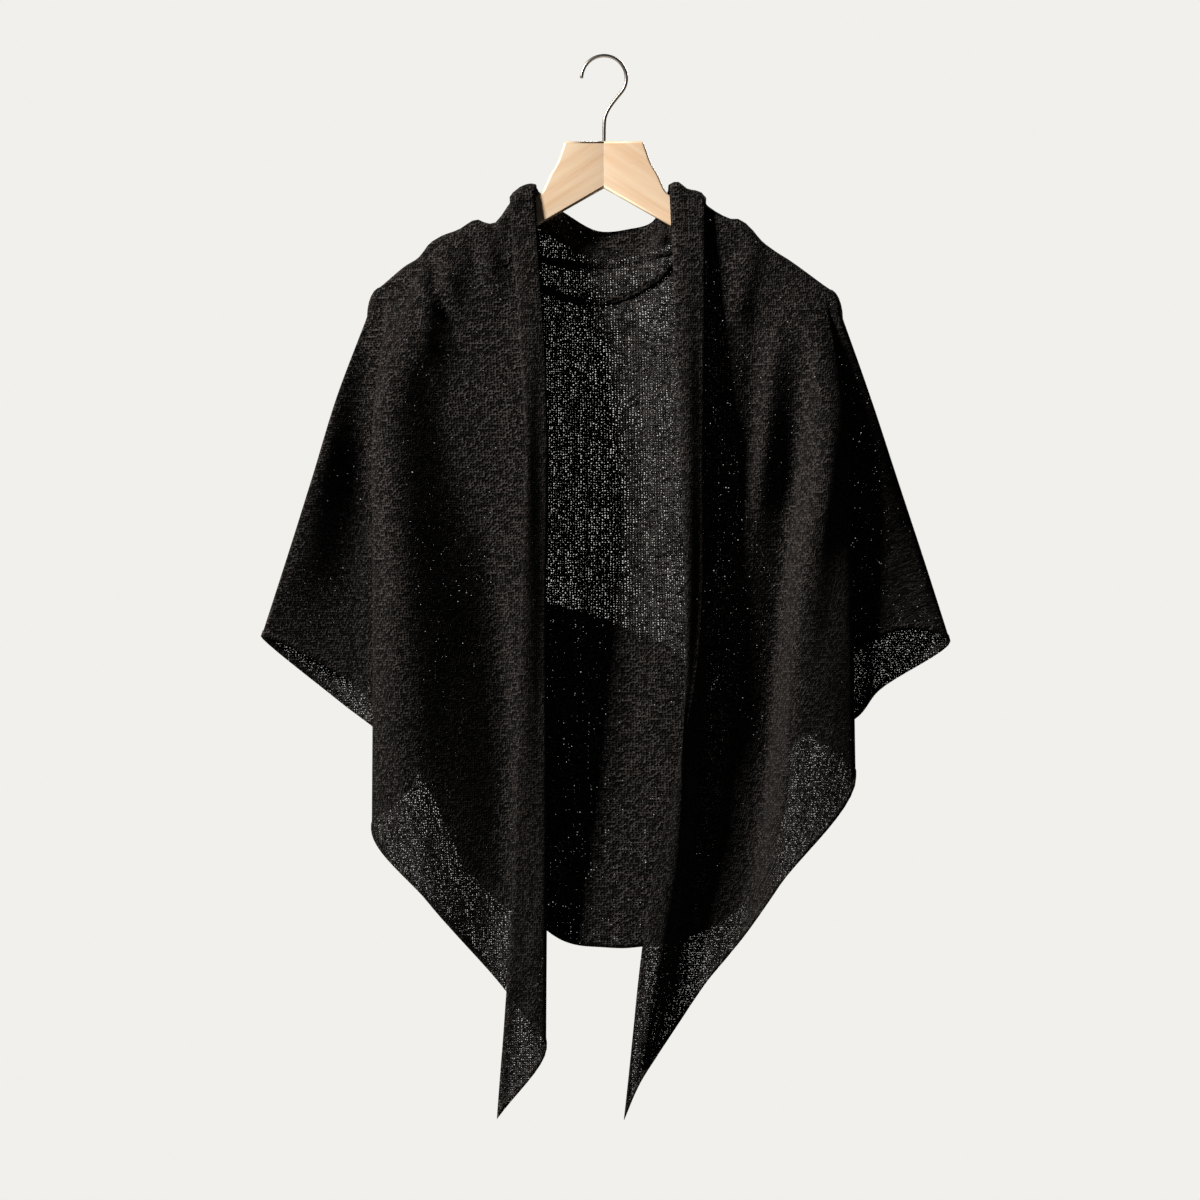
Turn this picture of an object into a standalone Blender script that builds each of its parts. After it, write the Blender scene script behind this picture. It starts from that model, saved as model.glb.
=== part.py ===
"""A knitted triangle scarf draped over a wooden hanger.

One triangular cloth hangs over the two arms of the hanger. Its long edge runs down the left
front, round the back of the neck and down the right front, and is turned over to the outside as
a narrow band. Each front ends in a hanging point. At each side the cloth doubles back behind the
front panel and opens into a wing. The third corner is turned up behind the back.

Metres, +Z up, the front faces -Y. The origin is where the hook's bend rests on a rail.
"""
import math

import bpy
import bmesh
import numpy as np

MM = 0.001
COLLECTION = "triangle_scarf_on_hanger"

# Cloth, in millimetres
WALL = 2.0
SEAM = 0.3
SHOULDER_ROLL = 7.5
SIDE_ROLL_OUT = 6.5
SIDE_ROLL_DOWN = 22.5
SIDE_SPREAD = 60
FAN_RADIUS = 2.0
FLAT_FACING = 0.97
RIDGE_FADE = 0.30
NECK_SAMPLES = 12
FRONT_STEPS = 3
BACK_STEPS = 2
BACK_BAND_WIDTH = 27.0
BACK_BAND_RADIUS = 2.6
BACK_BAND_SWELL = 3.0
BACK_BAND_SHARES = (0.33, 0.66, 1.0)
NECK_TURN = 0.22
CORNER_FOLD_RADIUS = 4.0
CORNER_STEPS = 8

# Share of the fall from the shoulder to the hem at which each row of the wall lies
FALL_ROWS = (0.0, 0.02, 0.045, 0.075, 0.11, 0.16, 0.23, 0.32, 0.42, 0.52, 0.62, 0.72, 0.82, 0.91, 1.0)
ROLL_ANGLES = (0.0, 45.0)
TURN_ANGLES = (0.0, 60.0, 120.0, 180.0)

# Shoulder line of the cloth: distance out from the middle, depth below the origin
LEFT_SHOULDER = (
    (69, 130), (78, 132), (88, 138), (97, 150), (109, 166), (117, 167), (127, 163), (146, 173),
    (166, 181), (176, 188), (184, 199), (200, 210), (224, 231),
)
RIGHT_SHOULDER = (
    (66, 130), (74, 129), (84, 137), (97, 141), (105, 150), (116, 157), (126, 162), (137, 163),
    (148, 172), (158, 184), (168, 192), (188, 205), (206, 218), (226, 233),
)

# Falls of the front, from the long edge outwards. Each row is one crest or hollow of the cloth:
# name, top (out along the shoulder), lift above the layer below, face (0 front, 90 side),
# then out and forward at a quarter, half and three quarters of the fall, and
# out, forward and depth at the hem.
LEFT_FRONT = (
    ("turned edge", 94, 5.0, 0, 79, 35, 86, 38, 91, 38, 107, 34, 1064),
    ("inner fold", 69, 2.5, 0, 57, 28, 58, 30, 57, 30, 58, 28, 994),
    ("under the band", 78, 0.0, 0, 78, 16, 78, 10, 79, 8, 80, 14, 962),
    ("band valley", 97, 0.0, 0, 156, 14, 112, 4, 96, 2, 108, 8, 926),
    ("panel slope", 150, 0.0, 0, 211, 42, 210, 47, 206, 46, 177, 37, 846),
    ("panel ridge", 212, 0.0, 10, 231, 32, 231, 36, 231, 36, 232, 32, 775),
    ("panel return", 224, 0.0, 30, 208, 10, 199, 4, 193, 4, 190, 11, 725),
    ("wing front", 224, 0.0, 66, 239, -2, 241, -8, 242, -9, 248, -5, 634),
    ("wing fold", 224, 0.0, 90, 268, 8, 292, 18, 317, 22, 343, 19, 582),
)
RIGHT_FRONT = (
    ("turned edge", 102, 5.0, 0, 100, 34, 94, 36, 46, 38, 20, 32, 1065),
    ("inner fold", 66, 2.5, 0, 75, 36, 81, 38, 73, 38, 36, 30, 1028),
    ("under the band", 78, 0.0, 0, 90, 20, 92, 22, 84, 24, 54, 22, 1000),
    ("band valley", 97, 0.0, 0, 112, 10, 106, 6, 96, 6, 80, 13, 962),
    ("short ridge", 150, 0.0, 0, 157, 9, 132, 5, 115, 6, 104, 13, 927),
    ("deep valley", 184, 0.0, 0, 192, 5, 175, 3, 161, 1, 134, 9, 891),
    ("main ridge", 208, 0.0, 0, 221, 31, 201, 35, 186, 35, 176, 33, 830),
    ("panel edge", 220, 0.0, 10, 243, 16, 247, 16, 250, 17, 252, 18, 722),
    ("panel return", 226, 0.0, 30, 214, 12, 204, 11, 200, 11, 196, 10, 664),
    ("wing front", 226, 0.0, 66, 252, 4, 272, 0, 284, -4, 292, -5, 577),
    ("wing fold", 226, 0.0, 90, 269, -5, 296, -13, 323, -19, 349, -20, 587),
)

# Falls of the back, from each wing fold to the neck, with the same columns.
LEFT_BACK = (
    ("wing back", 224, 0.0, 114, 246, -12, 262, -16, 268, -18, 267, -14, 647),
    ("side back", 224, 0.0, 150, 226, -18, 228, -20, 220, -18, 209, -12, 693),
    ("outer ridge", 212, 0.0, 170, 205, -20, 200, -24, 188, -20, 179, -8, 730),
    ("outer hollow", 150, 0.0, 180, 158, -16, 158, -18, 152, -12, 147, 0, 797),
    ("inner ridge", 97, 0.0, 180, 112, -22, 118, -22, 117, -14, 114, 1, 837),
    ("inner hollow", 78, 0.0, 180, 84, -18, 88, -18, 88, -10, 84, 4, 860),
    ("neck side", 69, 0.0, 180, 64, -20, 62, -19, 60, -10, 58, 6, 873),
)
RIGHT_BACK = (
    ("wing back", 226, 0.0, 114, 256, -14, 274, -22, 280, -27, 277, -26, 637),
    ("side back", 226, 0.0, 150, 240, -18, 250, -20, 254, -18, 253, -12, 665),
    ("outer ridge", 220, 0.0, 170, 218, -20, 215, -24, 205, -20, 192, -8, 690),
    ("outer hollow", 208, 0.0, 180, 192, -14, 190, -16, 188, -12, 184, -2, 742),
    ("middle ridge", 184, 0.0, 180, 162, -22, 160, -24, 162, -16, 163, -1, 808),
    ("middle hollow", 150, 0.0, 180, 132, -16, 134, -18, 136, -10, 134, 2, 852),
    ("inner ridge", 97, 0.0, 180, 100, -22, 102, -22, 100, -12, 98, 4, 875),
    ("inner hollow", 78, 0.0, 180, 78, -18, 78, -18, 74, -9, 70, 5, 884),
    ("neck side", 66, 0.0, 180, 64, -20, 60, -19, 56, -9, 50, 6, 889),
)

# Falls below the neck edge, from the viewer's left to right. Each row: name, across, back and
# depth at the neck edge, then across and forward at a quarter, half and three quarters of the
# fall, and across, forward and depth at the bottom fold.
NECK = (
    ("left turn", -67, 9.5, 133, -57, -22, -54, -20, -53, -10, -51, 6, 878),
    ("left side", -57, 14.5, 143, -46, -23, -43, -20, -42, -10, -40, 6, 884),
    ("left neck", -38, 20, 156, -29, -25, -27, -21, -26, -10, -26, 7, 888),
    ("middle neck", -6, 26, 173, -3, -27, -2, -22, -2, -10, -2, 7, 890),
    ("right neck", 26, 23, 171, 24, -26, 23, -22, 21, -10, 19, 7, 891),
    ("right side", 49, 17, 164, 43, -23, 40, -20, 36, -9, 33, 6, 890),
    ("right turn", 64, 9.5, 136, 55, -22, 51, -20, 47, -9, 43, 6, 889),
)

# Swagged folds across the back of the neck: depth in the middle, fall towards the left,
# sag of the curve over 100 mm, how far it stands forward, half width.
NECK_SWAGS = (
    (187, 0.10, 18, 5.0, 9.0),
    (204, 0.14, 20, -5.0, 8.0),
    (214, 0.18, 22, 6.0, 9.0),
    (231, 0.32, 26, -5.0, 11.0),
)
SWAG_REACH = 95.0
SWAG_MIDDLE = 20.0
SWAG_LOWEST = -10.0
SWAG_SETTLE = 0.03

# Upper edge of the corner that is turned up behind the back: across, depth.
CORNER_EDGE = (
    (-168, 775), (-135, 650), (-104, 535), (-59, 547), (-5, 562), (50, 588), (86, 616),
    (136, 665), (188, 757),
)

# Hanger, in millimetres
ARM_THICK = 12.0
ARM_BEVEL = 1.6
ARM_TOP = (
    (39.5, 84.5), (43, 95), (47.5, 107), (54, 118), (58, 127), (62, 135), (68, 140), (80, 146),
    (96, 160), (112, 174), (140, 187), (176, 206), (200, 219), (213, 231),
)
ARM_TIP = ((217, 236), (214, 243))
ARM_BELOW = ((180, 226), (120, 199), (66, 169))
ARM_CENTRE = (84.5, 131.5)
HOOK_WIRE = 3.5
HOOK_RADIUS = 22.5
HOOK_TIP_ANGLE = 177.0
HOOK_BACK_ANGLE = -38.0
HOOK_NECK = ((9.0, -45.5), (4.0, -53.0), (1.3, -60.5), (0.4, -69.0))

CLOTH_COLOUR = (0.008, 0.0075, 0.007)
WOOD_COLOUR = (0.68, 0.46, 0.28)
WIRE_COLOUR = (0.38, 0.34, 0.30)


def material(name, colour, roughness, metallic):
    """A plain surface with one colour."""
    surface = bpy.data.materials.new(name)
    surface.use_nodes = True
    shader = surface.node_tree.nodes["Principled BSDF"]
    shader.inputs["Base Color"].default_value = (*colour, 1.0)
    shader.inputs["Roughness"].default_value = roughness
    shader.inputs["Metallic"].default_value = metallic
    return surface


def smooth_step(value):
    """Rises from 0 to 1 with level ends."""
    value = min(max(value, 0.0), 1.0)
    return value * value * (3.0 - 2.0 * value)


def through(values, place):
    """Reads a smooth curve through evenly spaced values at a place from 0 to 1."""
    last = len(values) - 1
    spot = min(max(place, 0.0), 1.0) * last
    index = min(int(spot), last - 1)
    part = spot - index
    before = values[index - 1] if index > 0 else 2 * values[0] - values[1]
    after = values[index + 2] if index + 2 <= last else 2 * values[last] - values[last - 1]
    start, end = values[index], values[index + 1]
    bend = 2 * before - 5 * start + 4 * end - after
    twist = 3 * (start - end) + after - before
    return start + 0.5 * part * ((end - before) + part * (bend + part * twist))


def centripetal(points, steps):
    """Samples a curve through points without loops, with the given steps in each span."""
    first = 2 * points[0] - points[1]
    last = 2 * points[-1] - points[-2]
    chain = [first, *points, last]
    samples = [points[0]]
    for span, count in enumerate(steps):
        four = chain[span:span + 4]
        knots = [0.0]
        for near, far in zip(four, four[1:]):
            knots.append(knots[-1] + max(np.linalg.norm(far - near), 1e-4) ** 0.5)
        for step in range(1, count + 1):
            time = knots[1] + (knots[2] - knots[1]) * step / count
            level = four
            for reach in (1, 2, 3):
                joined = []
                for i in range(len(level) - 1):
                    low = knots[i] if reach < 3 else knots[1]
                    high = knots[i + reach] if reach < 3 else knots[2]
                    share = (time - low) / (high - low)
                    joined.append(level[i] * (1 - share) + level[i + 1] * share)
                level = joined
            samples.append(level[0])
    return samples


def shoulder_depth(profile, out):
    """Depth of the shoulder line at a distance out from the middle."""
    return float(np.interp(out, [row[0] for row in profile], [row[1] for row in profile]))


def make_rib(side, profile, row):
    """One line of the cloth from the shoulder to the hem, as its sizes in one record."""
    top, lift, face, o25, d25, o50, d50, o75, d75, out, depth, drop = row[1:]
    turn = math.radians(face)
    aside = smooth_step(1 - abs(face - 90) / SIDE_SPREAD)
    roll_out = SHOULDER_ROLL + lift + SIDE_ROLL_OUT * aside
    roll_down = SHOULDER_ROLL + lift + SIDE_ROLL_DOWN * aside
    start_out = top + roll_out * math.sin(turn)
    start_forward = roll_out * math.cos(turn)
    start_drop = shoulder_depth(profile, top) - lift + roll_down
    return {
        "side": side, "profile": profile, "top": top, "lift": lift, "turn": turn,
        "roll_out": roll_out, "roll_down": roll_down, "neck": None,
        "out": (start_out, o25, o50, o75, out),
        "forward": (start_forward, d25, d50, d75, depth),
        "drop": (start_drop, drop),
    }


def make_neck_rib(row):
    """One line of the cloth from the neck edge to the bottom fold."""
    across, back, depth, a25, d25, a50, d50, a75, d75, low, forward, drop = row[1:]
    return {
        "side": 1, "profile": None, "top": 0, "lift": 0, "turn": math.pi,
        "roll_out": 1.0, "roll_down": SHOULDER_ROLL, "neck": (across, back, depth),
        "out": (across, a25, a50, a75, low),
        "forward": (-back - 1.0, d25, d50, d75, forward),
        "drop": (depth + SHOULDER_ROLL, drop),
    }


def rib_point(rib, fall):
    """Where one rib lies at a share of its fall."""
    out = through(rib["out"], fall)
    forward = through(rib["forward"], fall)
    start, end = rib["drop"]
    return np.array((rib["side"] * out, -forward, -(start + fall * (end - start))))


def rib_top(rib, top, lift, angle, turn, roll_out, roll_down):
    """Where the cloth lies on its way over the shoulder, at an angle from the top."""
    bend = math.radians(angle)
    if rib["neck"]:
        across, back, depth = rib["neck"]
        base = np.array((across, back, -depth))
        return base + np.array((0, roll_out * math.sin(bend), -roll_down * (1 - math.cos(bend))))
    gap = FAN_RADIUS if abs(math.cos(turn)) < FLAT_FACING else SEAM / 2
    reach = gap + (roll_out - gap) * math.sin(bend)
    height = -shoulder_depth(rib["profile"], top) + lift - roll_down * (1 - math.cos(bend))
    return np.array((rib["side"] * (top + reach * math.sin(turn)), -reach * math.cos(turn), height))


def swag(point, strength):
    """Pushes the cloth at the back of the neck into folds that hang from side to side."""
    x, y, z = point
    away = smooth_step(1 - abs(x) / SWAG_REACH) * strength
    shift = 0.0
    for depth, tilt, sag, height, width in NECK_SWAGS:
        line = -depth + tilt * (x - SWAG_MIDDLE) + sag * (0.01 * (x - SWAG_LOWEST)) ** 2
        shift += height * math.exp(-((z - line) / width) ** 2)
    return np.array((x, y - shift * away, z))


def cloth_rows(ribs, steps):
    """The whole sheet as rows of points from the shoulder and neck down to the hem."""
    columns = [(0, 0.0)]
    for span, count in enumerate(steps):
        columns += [(span, step / count) for step in range(1, count + 1)]

    def mixed(key, span, part):
        return ribs[span][key] * (1 - part) + ribs[span + 1][key] * part

    def rolled(span, part, angle):
        near, far = ribs[span], ribs[span + 1]
        if near["neck"] or far["neck"]:
            chain = [rib_top(r, r["top"], r["lift"], angle, r["turn"], r["roll_out"], r["roll_down"])
                     for r in ribs[span - 1:span + 3]]
            return centripetal(chain, (1, NECK_SAMPLES, 1))[1 + round(part * NECK_SAMPLES)]
        owner = near if near["profile"] is far["profile"] else far
        lift = mixed("lift", span, part)
        if near["lift"] != far["lift"]:
            low, high = sorted((near["lift"], far["lift"]))
            reach = (1 - part) if near["lift"] > far["lift"] else part
            if low > 0:
                curve = math.sqrt(1 - (1 - reach) ** 2)
            else:
                curve = 1 - math.sqrt(1 - reach ** 2)
            lift = low + (high - low) * curve
        return rib_top(owner, mixed("top", span, part), lift, angle, mixed("turn", span, part),
                       mixed("roll_out", span, part), mixed("roll_down", span, part))

    grid = [[rolled(span, part, angle) for span, part in columns] for angle in ROLL_ANGLES]
    start = np.array([rolled(span, part, 90.0) for span, part in columns])
    plain_start = np.array(centripetal([rib_point(rib, 0.0) for rib in ribs], steps))
    in_neck = [bool(ribs[span]["neck"] or ribs[span + 1]["neck"]) for span, part in columns]
    for fall in FALL_ROWS:
        row = np.array(centripetal([rib_point(rib, fall) for rib in ribs], steps))
        keep = 1 - smooth_step(fall / RIDGE_FADE)
        row = row + (start - plain_start) * keep
        settle = smooth_step(fall / SWAG_SETTLE)
        grid.append([swag(point, settle) if near else point for point, near in zip(row, in_neck)])
    return np.array(grid)


def sheet_normals(grid):
    """Outward direction of the cloth at each point, read from its neighbours."""
    along = np.gradient(grid, axis=1)
    down = np.gradient(grid, axis=0)
    normals = np.cross(along, down)
    lengths = np.linalg.norm(normals, axis=2, keepdims=True)
    return normals / np.maximum(lengths, 1e-9)


def wall(name, grid, normals, surface, collection):
    """A closed wall of cloth on both sides of a grid of points."""
    rows, columns = grid.shape[:2]
    mesh = bpy.data.meshes.new(name)
    shape = bmesh.new()
    layers = []
    for side in (0.5, -0.5):
        points = (grid + normals * WALL * side) * MM
        layers.append([[shape.verts.new(points[r, c]) for c in range(columns)] for r in range(rows)])
    outer, inner = layers
    for r in range(rows - 1):
        for c in range(columns - 1):
            shape.faces.new((outer[r][c], outer[r + 1][c], outer[r + 1][c + 1], outer[r][c + 1]))
            shape.faces.new((inner[r][c], inner[r][c + 1], inner[r + 1][c + 1], inner[r + 1][c]))
    for r in range(rows - 1):
        shape.faces.new((outer[r][0], inner[r][0], inner[r + 1][0], outer[r + 1][0]))
        shape.faces.new((outer[r][-1], outer[r + 1][-1], inner[r + 1][-1], inner[r][-1]))
    for c in range(columns - 1):
        shape.faces.new((outer[0][c], outer[0][c + 1], inner[0][c + 1], inner[0][c]))
        shape.faces.new((outer[-1][c], inner[-1][c], inner[-1][c + 1], outer[-1][c + 1]))
    bmesh.ops.triangulate(shape, faces=shape.faces[:])
    bmesh.ops.recalc_face_normals(shape, faces=shape.faces[:])
    shape.to_mesh(mesh)
    shape.free()
    mesh.shade_smooth()
    mesh.materials.append(surface)
    piece = bpy.data.objects.new(name, mesh)
    collection.objects.link(piece)
    return piece


def stretch(grid, normals, first, last):
    """A run of columns, drawn in by half a seam at each cut side."""
    part = grid[:, first:last + 1].copy()
    if first > 0:
        inward = part[:, 1] - part[:, 0]
        part[:, 0] += inward / np.linalg.norm(inward, axis=1, keepdims=True) * SEAM / 2
    if last < grid.shape[1] - 1:
        inward = part[:, -2] - part[:, -1]
        part[:, -1] += inward / np.linalg.norm(inward, axis=1, keepdims=True) * SEAM / 2
    return part, normals[:, first:last + 1]


def neck_frames(edge):
    """For each point of the neck edge, the direction away from the cloth and the outward one."""
    along = np.gradient(edge, axis=0)
    along /= np.linalg.norm(along, axis=1, keepdims=True)
    count = len(edge)
    aways = []
    outwards = []
    for i in range(count):
        on_left = i < count / 2
        profile = LEFT_SHOULDER if on_left else RIGHT_SHOULDER
        start = profile[0][0]
        drop = shoulder_depth(profile, start + BACK_BAND_WIDTH) - profile[0][1]
        side = -1 if on_left else 1
        turn = smooth_step(min(i, count - 1 - i) / (count - 1) / NECK_TURN)
        outward = np.array((side * drop * (1 - turn), BACK_BAND_WIDTH * turn, BACK_BAND_WIDTH * (1 - turn)))
        outward -= along[i] * float(np.dot(outward, along[i]))
        outward /= np.linalg.norm(outward)
        outwards.append(outward)
        aways.append(np.cross(along[i], outward))
    return np.array(aways), np.array(outwards)


def turned_band(edge, aways, outwards):
    """The long edge behind the neck, turned over to the outside along the neck edge."""
    count = len(edge)
    places = [min(i, count - 1 - i) / (count - 1) for i in range(count)]
    swell = np.array([[BACK_BAND_SWELL * (1 - smooth_step(place / NECK_TURN))] for place in places])
    radius = BACK_BAND_RADIUS
    sections = []
    facing = []
    for angle in TURN_ANGLES:
        bend = math.radians(angle)
        lift = SEAM + radius * math.sin(bend)
        sections.append(edge + aways * lift + outwards * radius * (1 - math.cos(bend)))
        facing.append(outwards * math.cos(bend) - aways * math.sin(bend))
    for share in BACK_BAND_SHARES:
        bulge = swell * math.sin(math.pi * share)
        sections.append(edge + aways * (SEAM - BACK_BAND_WIDTH * share) + outwards * (2 * radius + bulge))
        facing.append(-outwards)
    return np.array(sections), np.array(facing)


def turned_corner(grid, first, last):
    """The third corner of the cloth, folded up behind the back from the bottom edge."""
    low = grid[-1, first:last + 1]
    radius = CORNER_FOLD_RADIUS
    behind = np.array((0.0, 1.0, 0.0))
    down = np.array((0.0, 0.0, -1.0))
    sections = []
    facing = []
    for angle in TURN_ANGLES:
        bend = math.radians(angle)
        move = down * (SEAM + radius * math.sin(bend)) + behind * radius * (1 - math.cos(bend))
        sections.append(low + move)
        facing.append(np.tile(behind * math.cos(bend) - down * math.sin(bend), (len(low), 1)))
    for step in range(1, CORNER_STEPS + 1):
        row = []
        for c in range(first, last + 1):
            bottom = grid[-1, c]
            edge = -np.interp(bottom[0], [p[0] for p in CORNER_EDGE], [p[1] for p in CORNER_EDGE])
            level = bottom[2] + (edge - bottom[2]) * step / CORNER_STEPS
            heights = grid[::-1, c, 2]
            x = np.interp(level, heights, grid[::-1, c, 0])
            y = np.interp(level, heights, grid[::-1, c, 1])
            row.append((x, y + 2 * radius, level))
        sections.append(np.array(row))
        facing.append(np.tile(-behind, (len(row), 1)))
    return np.array(sections), np.array(facing)


def cloth_pieces(collection, surface):
    """Every stretch of the cloth, each its own piece."""
    left_front = [make_rib(-1, LEFT_SHOULDER, row) for row in LEFT_FRONT]
    left_back = [make_rib(-1, LEFT_SHOULDER, row) for row in LEFT_BACK]
    neck = [make_neck_rib(row) for row in NECK]
    right_back = [make_rib(1, RIGHT_SHOULDER, row) for row in reversed(RIGHT_BACK)]
    right_front = [make_rib(1, RIGHT_SHOULDER, row) for row in reversed(RIGHT_FRONT)]
    ribs = left_front + left_back + neck + right_back + right_front
    steps = []
    for span in range(len(ribs) - 1):
        in_back = len(left_front) + 2 <= span < len(ribs) - len(right_front) - 3
        steps.append(BACK_STEPS if in_back else FRONT_STEPS)
    column_of = [0]
    for count in steps:
        column_of.append(column_of[-1] + count)
    grid = cloth_rows(ribs, steps)
    normals = sheet_normals(grid)
    neck_first = column_of[len(left_front) + len(left_back) - 1]
    neck_last = column_of[len(ribs) - len(right_front) - len(right_back)]
    for c in range(grid.shape[1]):
        over = grid[1, c] - grid[0, c]
        over[2] = 0.0
        along = grid[0, min(c + 1, grid.shape[1] - 1)] - grid[0, max(c - 1, 0)]
        lean = np.cross(along, over)
        normals[0, c] = lean / np.linalg.norm(lean)
    edge = grid[0, neck_first:neck_last + 1]
    aways, outwards = neck_frames(edge)
    normals[0, neck_first:neck_last + 1] = outwards
    corner_first = column_of[len(left_front) + 3]
    corner_last = column_of[len(ribs) - len(right_front) - 5]
    normals[-1, corner_first:corner_last + 1] = (0.0, 1.0, 0.0)

    wing = len(left_front) - 2
    right_wing = len(ribs) - len(right_front) + 1
    cuts = {
        "left_front": (0, column_of[wing - 1] + 1),
        "left_wing": (column_of[wing - 1] + 1, column_of[wing + 2] + 2),
        "back": (column_of[wing + 2] + 2, column_of[right_wing - 2] - 2),
        "right_wing": (column_of[right_wing - 2] - 2, column_of[right_wing + 1] - 1),
        "right_front": (column_of[right_wing + 1] - 1, grid.shape[1] - 1),
    }
    for name, (first, last) in cuts.items():
        points, facing = stretch(grid, normals, first, last)
        wall(name, points, facing, surface, collection)
    points, facing = turned_band(edge, aways, outwards)
    wall("back_neck_band", points, facing, surface, collection)
    points, facing = turned_corner(grid, corner_first, corner_last)
    wall("turned_up_corner", points, facing, surface, collection)


def hanger_arm(side, name, surface, collection):
    """One half of the wooden hanger, a flat board with rounded edges."""
    outline = [(SEAM / 2, ARM_CENTRE[0]), *ARM_TOP, *ARM_TIP, *ARM_BELOW, (SEAM / 2, ARM_CENTRE[1])]
    shape = bmesh.new()
    front = [shape.verts.new((side * x * MM, -ARM_THICK / 2 * MM, -z * MM)) for x, z in outline]
    face = shape.faces.new(front)
    pulled = bmesh.ops.extrude_face_region(shape, geom=[face])
    moved = [item for item in pulled["geom"] if isinstance(item, bmesh.types.BMVert)]
    bmesh.ops.translate(shape, verts=moved, vec=(0.0, ARM_THICK * MM, 0.0))
    bmesh.ops.recalc_face_normals(shape, faces=shape.faces[:])
    mesh = bpy.data.meshes.new(name)
    shape.to_mesh(mesh)
    shape.free()
    mesh.materials.append(surface)
    piece = bpy.data.objects.new(name, mesh)
    collection.objects.link(piece)
    rounding = piece.modifiers.new("rounded edges", "BEVEL")
    rounding.width = ARM_BEVEL * MM
    rounding.segments = 2
    rounding.limit_method = "ANGLE"
    rounding.angle_limit = math.radians(40)
    return piece


def hook(surface, collection):
    """The bent wire of the hanger, from its tip over the top to the wood."""
    centre = HOOK_WIRE / 2 - HOOK_RADIUS
    points = []
    steps = 22
    for step in range(steps + 1):
        angle = math.radians(HOOK_TIP_ANGLE + (HOOK_BACK_ANGLE - HOOK_TIP_ANGLE) * step / steps)
        points.append(np.array((HOOK_RADIUS * math.cos(angle), centre + HOOK_RADIUS * math.sin(angle))))
    neck = [points[-1], *(np.array(place) for place in HOOK_NECK), np.array((0.0, -ARM_CENTRE[0] + SEAM))]
    points += centripetal(neck, (2, 2, 2, 2, 2))[1:]
    path = bpy.data.curves.new("hook", "CURVE")
    path.dimensions = "3D"
    path.bevel_depth = HOOK_WIRE / 2 * MM
    path.bevel_resolution = 2
    path.use_fill_caps = True
    spline = path.splines.new("POLY")
    spline.points.add(len(points) - 1)
    for target, (x, z) in zip(spline.points, points):
        target.co = (x * MM, 0.0, z * MM, 1.0)
    path.materials.append(surface)
    piece = bpy.data.objects.new("hook", path)
    collection.objects.link(piece)
    return piece


def main():
    for thing in list(bpy.data.objects):
        bpy.data.objects.remove(thing, do_unlink=True)
    collection = bpy.data.collections.new(COLLECTION)
    bpy.context.scene.collection.children.link(collection)
    cloth = material("knitted cloth", CLOTH_COLOUR, 0.95, 0.0)
    wood = material("beech", WOOD_COLOUR, 0.5, 0.0)
    wire = material("steel wire", WIRE_COLOUR, 0.3, 1.0)
    cloth_pieces(collection, cloth)
    hanger_arm(-1, "hanger_left_arm", wood, collection)
    hanger_arm(1, "hanger_right_arm", wood, collection)
    hook(wire, collection)


main()
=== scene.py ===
# %% [markdown]
# # A knitted triangle scarf on a wooden hanger
#
# The real thing is one triangle of fine black knit, about 2.1 m along its long edge, hung over a
# flat wooden hanger the way a shawl lies on shoulders. The long edge is turned over as a narrow
# strip and runs down the left front, round the back of the neck and down the right front. Each
# front ends in a point. At each side the cloth doubles back behind the front panel and opens into
# a wing, and the third corner is turned up behind the back.
#
# Two other ways were weighed for the cloth. A cloth simulation gives true folds, but never the
# folds that this scarf shows. Sculpting by hand gives them, but nobody can change a size later.
# So the cloth is one grid of lines that fall from the shoulder to the hem, each line a crest or
# a hollow with its own sizes, and the creases are added on that grid. Everything is in metres,
# +Z is up, the front faces -Y, and the origin is where the hook's bend rests on a rail.

import math

import bmesh
import bpy
import numpy as np
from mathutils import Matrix, Vector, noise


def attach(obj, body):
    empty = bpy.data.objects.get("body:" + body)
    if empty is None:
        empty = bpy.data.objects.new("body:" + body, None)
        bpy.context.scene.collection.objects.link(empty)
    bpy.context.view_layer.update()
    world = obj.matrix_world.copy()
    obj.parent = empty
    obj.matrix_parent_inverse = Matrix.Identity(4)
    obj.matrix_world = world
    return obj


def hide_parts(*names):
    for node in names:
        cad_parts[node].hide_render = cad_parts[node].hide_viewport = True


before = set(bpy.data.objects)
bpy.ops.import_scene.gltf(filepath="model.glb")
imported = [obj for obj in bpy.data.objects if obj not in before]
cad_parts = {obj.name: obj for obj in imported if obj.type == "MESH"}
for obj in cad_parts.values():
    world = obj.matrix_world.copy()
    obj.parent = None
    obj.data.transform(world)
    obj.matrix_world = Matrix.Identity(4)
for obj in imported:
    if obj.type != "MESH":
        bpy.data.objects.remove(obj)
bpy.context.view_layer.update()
MM = 0.001

# %% [markdown]
# ## Small tools
#
# Every colour below is written as a hex value that can be checked against a colour chart, and
# one function turns it into the linear values that a renderer wants. Materials are made of
# nodes, and one small function adds a node with its settings and links, so each material reads
# as a short recipe.

# %% Colour and node helpers
def colour(code):
    """A hex colour as linear red, green, blue and 1."""
    channels = [int(code[i:i + 2], 16) / 255 for i in (1, 3, 5)]
    return (*[c / 12.92 if c <= 0.04045 else ((c + 0.055) / 1.055) ** 2.4 for c in channels], 1.0)


def add(tree, kind, inputs=None, **settings):
    """Adds a node, sets its properties and inputs, and links an input that is a socket."""
    made = tree.nodes.new(kind)
    for key, value in settings.items():
        setattr(made, key, value)
    for slot, value in (inputs or {}).items():
        if isinstance(value, bpy.types.NodeSocket):
            tree.links.new(value, made.inputs[slot])
        else:
            made.inputs[slot].default_value = value
    return made


def new_material(name):
    """A material with its own node tree, and its main shader."""
    made = bpy.data.materials.new(name)
    made.use_nodes = True
    return made, made.node_tree, made.node_tree.nodes["Principled BSDF"]


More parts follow.
